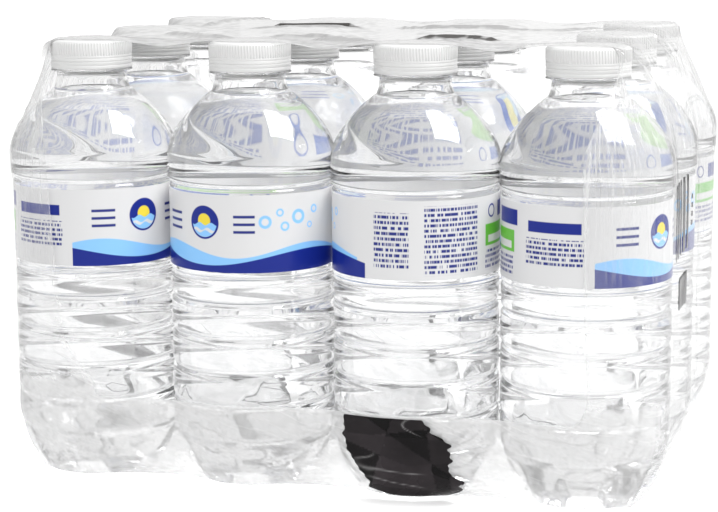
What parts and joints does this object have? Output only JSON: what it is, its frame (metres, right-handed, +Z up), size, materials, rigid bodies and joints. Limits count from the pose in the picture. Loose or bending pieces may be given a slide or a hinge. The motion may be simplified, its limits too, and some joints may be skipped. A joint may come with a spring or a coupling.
{
  "type": "shrink-wrapped pack of water bottles",
  "caption": "Shrink-wrapped pack of clear plastic water bottles with white screw caps and printed labels, held in a clear film sleeve that is open at the front and back.",
  "frame": {"origin": "centre of the pack's underside", "axes": "+Z up; +X to the right along the long side, seen from the front; the front is at -Y"},
  "size_m": [0.2726, 0.2061, 0.1774],
  "materials": {
    "clear_pet": "clear, glossy, moulded with ribs",
    "spring_water": "clear water, still",
    "cap_plastic": "white, slightly translucent, satin, with fine grip ribs",
    "label_print": "thin printed plastic wrap, white with blue bands",
    "clear_film": "clear shrink film, glossy, wrinkled where it gathers",
    "dark_print": "dark printed film, crumpled, glossy"
  },
  "bodies": {
    "root": {"bottle_01": "clear_pet", "bottle_02": "clear_pet", "bottle_03": "clear_pet", "bottle_04": "clear_pet", "bottle_05": "clear_pet", "bottle_06": "clear_pet", "bottle_07": "clear_pet", "bottle_08": "clear_pet", "bottle_09": "clear_pet", "bottle_10": "clear_pet", "bottle_11": "clear_pet", "bottle_12": "clear_pet", "water_01": "spring_water", "water_02": "spring_water", "water_03": "spring_water", "water_04": "spring_water", "water_05": "spring_water", "water_06": "spring_water", "water_07": "spring_water", "water_08": "spring_water", "water_09": "spring_water", "water_10": "spring_water", "water_11": "spring_water", "water_12": "spring_water", "cap_01": "cap_plastic", "cap_02": "cap_plastic", "cap_03": "cap_plastic", "cap_04": "cap_plastic", "cap_05": "cap_plastic", "cap_06": "cap_plastic", "cap_07": "cap_plastic", "cap_08": "cap_plastic", "cap_09": "cap_plastic", "cap_10": "cap_plastic", "cap_11": "cap_plastic", "cap_12": "cap_plastic", "label_01": "label_print", "label_02": "label_print", "label_03": "label_print", "label_04": "label_print", "label_05": "label_print", "label_06": "label_print", "label_07": "label_print", "label_08": "label_print", "label_09": "label_print", "label_10": "label_print", "label_11": "label_print", "label_12": "label_print", "film_sleeve": "clear_film", "film_patch": "dark_print"}
  },
  "joints": []
}
